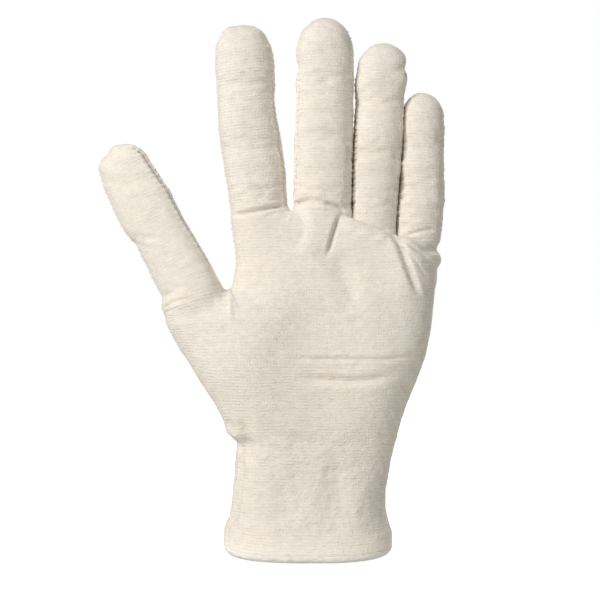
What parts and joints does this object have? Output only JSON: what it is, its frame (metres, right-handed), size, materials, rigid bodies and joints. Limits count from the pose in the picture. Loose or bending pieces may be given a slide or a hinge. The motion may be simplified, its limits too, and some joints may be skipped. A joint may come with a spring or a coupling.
{
  "type": "knit work glove",
  "caption": "Thin cut and sewn knit glove for a left hand, with fourchettes between the fingers and a turned hem at the wrist.",
  "frame": {"origin": "centre of the wrist opening, in the plane of the hem's lower edge", "axes": "+Z from the wrist opening to the fingertips, -Y the way the palm faces, thumb on the -X side"},
  "size_m": [0.1423, 0.0466, 0.2264],
  "materials": {
    "knit_cotton": "fine off-white knit",
    "knit_fourchette": "fine off-white knit",
    "knit_hem": "smooth doubled knit",
    "overlock_thread": "spun thread"
  },
  "bodies": {
    "hand": {"palm_panel": "knit_cotton", "back_panel": "knit_cotton", "cuff_hem": "knit_hem", "hem_stitch_line": "overlock_thread", "radial_side_seam": "overlock_thread", "fourchette_index_middle_crotch": "knit_fourchette", "fourchette_middle_ring_crotch": "knit_fourchette", "fourchette_ring_little_crotch": "knit_fourchette"},
    "index_base": {"index_base_front": "knit_cotton", "index_base_back": "knit_cotton", "index_base_fourchette_ulnar": "knit_fourchette"},
    "index_mid": {"index_mid_front": "knit_cotton", "index_mid_back": "knit_cotton", "index_mid_fourchette_ulnar": "knit_fourchette"},
    "index_tip": {"index_tip_front": "knit_cotton", "index_tip_back": "knit_cotton", "index_tip_fourchette_ulnar": "knit_fourchette"},
    "middle_base": {"middle_base_front": "knit_cotton", "middle_base_back": "knit_cotton", "middle_base_fourchette_ulnar": "knit_fourchette", "middle_base_fourchette_radial": "knit_fourchette"},
    "middle_mid": {"middle_mid_front": "knit_cotton", "middle_mid_back": "knit_cotton", "middle_mid_fourchette_ulnar": "knit_fourchette", "middle_mid_fourchette_radial": "knit_fourchette"},
    "middle_tip": {"middle_tip_front": "knit_cotton", "middle_tip_back": "knit_cotton", "middle_tip_fourchette_ulnar": "knit_fourchette", "middle_tip_fourchette_radial": "knit_fourchette"},
    "ring_base": {"ring_base_front": "knit_cotton", "ring_base_back": "knit_cotton", "ring_base_fourchette_ulnar": "knit_fourchette", "ring_base_fourchette_radial": "knit_fourchette"},
    "ring_mid": {"ring_mid_front": "knit_cotton", "ring_mid_back": "knit_cotton", "ring_mid_fourchette_ulnar": "knit_fourchette", "ring_mid_fourchette_radial": "knit_fourchette"},
    "ring_tip": {"ring_tip_front": "knit_cotton", "ring_tip_back": "knit_cotton", "ring_tip_fourchette_ulnar": "knit_fourchette", "ring_tip_fourchette_radial": "knit_fourchette"},
    "little_base": {"little_base_front": "knit_cotton", "little_base_back": "knit_cotton", "little_base_fourchette_radial": "knit_fourchette"},
    "little_mid": {"little_mid_front": "knit_cotton", "little_mid_back": "knit_cotton", "little_mid_fourchette_radial": "knit_fourchette"},
    "little_tip": {"little_tip_front": "knit_cotton", "little_tip_back": "knit_cotton", "little_tip_fourchette_radial": "knit_fourchette"},
    "thumb_base": {"thumb_base_front": "knit_cotton", "thumb_base_back": "knit_cotton"},
    "thumb_tip": {"thumb_tip_front": "knit_cotton", "thumb_tip_back": "knit_cotton"}
  },
  "joints": [
    {"name": "index_knuckle_bend", "type": "hinge", "parent": "hand", "child": "index_base", "pos_m": [-0.02024, -0.01069, 0.1449], "axis": [1, 0, 0], "range_deg": [0, 85]},
    {"name": "index_middle_bend", "type": "hinge", "parent": "index_base", "child": "index_mid", "pos_m": [-0.0244, -0.0103, 0.172], "axis": [1, 0, 0], "range_deg": [0, 95]},
    {"name": "index_tip_bend", "type": "hinge", "parent": "index_mid", "child": "index_tip", "pos_m": [-0.0265, -0.0099, 0.197], "axis": [1, 0, 0], "range_deg": [0, 62]},
    {"name": "middle_knuckle_bend", "type": "hinge", "parent": "hand", "child": "middle_base", "pos_m": [0.00592, -0.01069, 0.1449], "axis": [1, 0, 0], "range_deg": [0, 85]},
    {"name": "middle_middle_bend", "type": "hinge", "parent": "middle_base", "child": "middle_mid", "pos_m": [0.0064, -0.0103, 0.174], "axis": [1, 0, 0], "range_deg": [0, 95]},
    {"name": "middle_tip_bend", "type": "hinge", "parent": "middle_mid", "child": "middle_tip", "pos_m": [0.0068, -0.0099, 0.199], "axis": [1, 0, 0], "range_deg": [0, 62]},
    {"name": "ring_knuckle_bend", "type": "hinge", "parent": "hand", "child": "ring_base", "pos_m": [0.02759, -0.00987, 0.14201], "axis": [1, 0, 0], "range_deg": [0, 85]},
    {"name": "ring_middle_bend", "type": "hinge", "parent": "ring_base", "child": "ring_mid", "pos_m": [0.0288, -0.0097, 0.168], "axis": [1, 0, 0], "range_deg": [0, 95]},
    {"name": "ring_tip_bend", "type": "hinge", "parent": "ring_mid", "child": "ring_tip", "pos_m": [0.0299, -0.0093, 0.191], "axis": [1, 0, 0], "range_deg": [0, 62]},
    {"name": "little_knuckle_bend", "type": "hinge", "parent": "hand", "child": "little_base", "pos_m": [0.04621, -0.00924, 0.13572], "axis": [1, 0, 0], "range_deg": [0, 85]},
    {"name": "little_middle_bend", "type": "hinge", "parent": "little_base", "child": "little_mid", "pos_m": [0.0478, -0.0089, 0.155], "axis": [1, 0, 0], "range_deg": [0, 95]},
    {"name": "little_tip_bend", "type": "hinge", "parent": "little_mid", "child": "little_tip", "pos_m": [0.049, -0.0085, 0.173], "axis": [1, 0, 0], "range_deg": [0, 62]},
    {"name": "thumb_root_bend", "type": "hinge", "parent": "hand", "child": "thumb_base", "pos_m": [-0.04811, -0.0133, 0.10532], "axis": [0.891, 0, 0.454], "range_deg": [0, 50]},
    {"name": "thumb_tip_bend", "type": "hinge", "parent": "thumb_base", "child": "thumb_tip", "pos_m": [-0.06147, -0.01089, 0.13398], "axis": [0.891, 0, 0.454], "range_deg": [0, 75]}
  ],
  "couplings": [
    {"joint": "index_tip_bend", "follows": "index_middle_bend", "ratio": 0.65},
    {"joint": "middle_tip_bend", "follows": "middle_middle_bend", "ratio": 0.65},
    {"joint": "ring_tip_bend", "follows": "ring_middle_bend", "ratio": 0.65},
    {"joint": "little_tip_bend", "follows": "little_middle_bend", "ratio": 0.65}
  ]
}
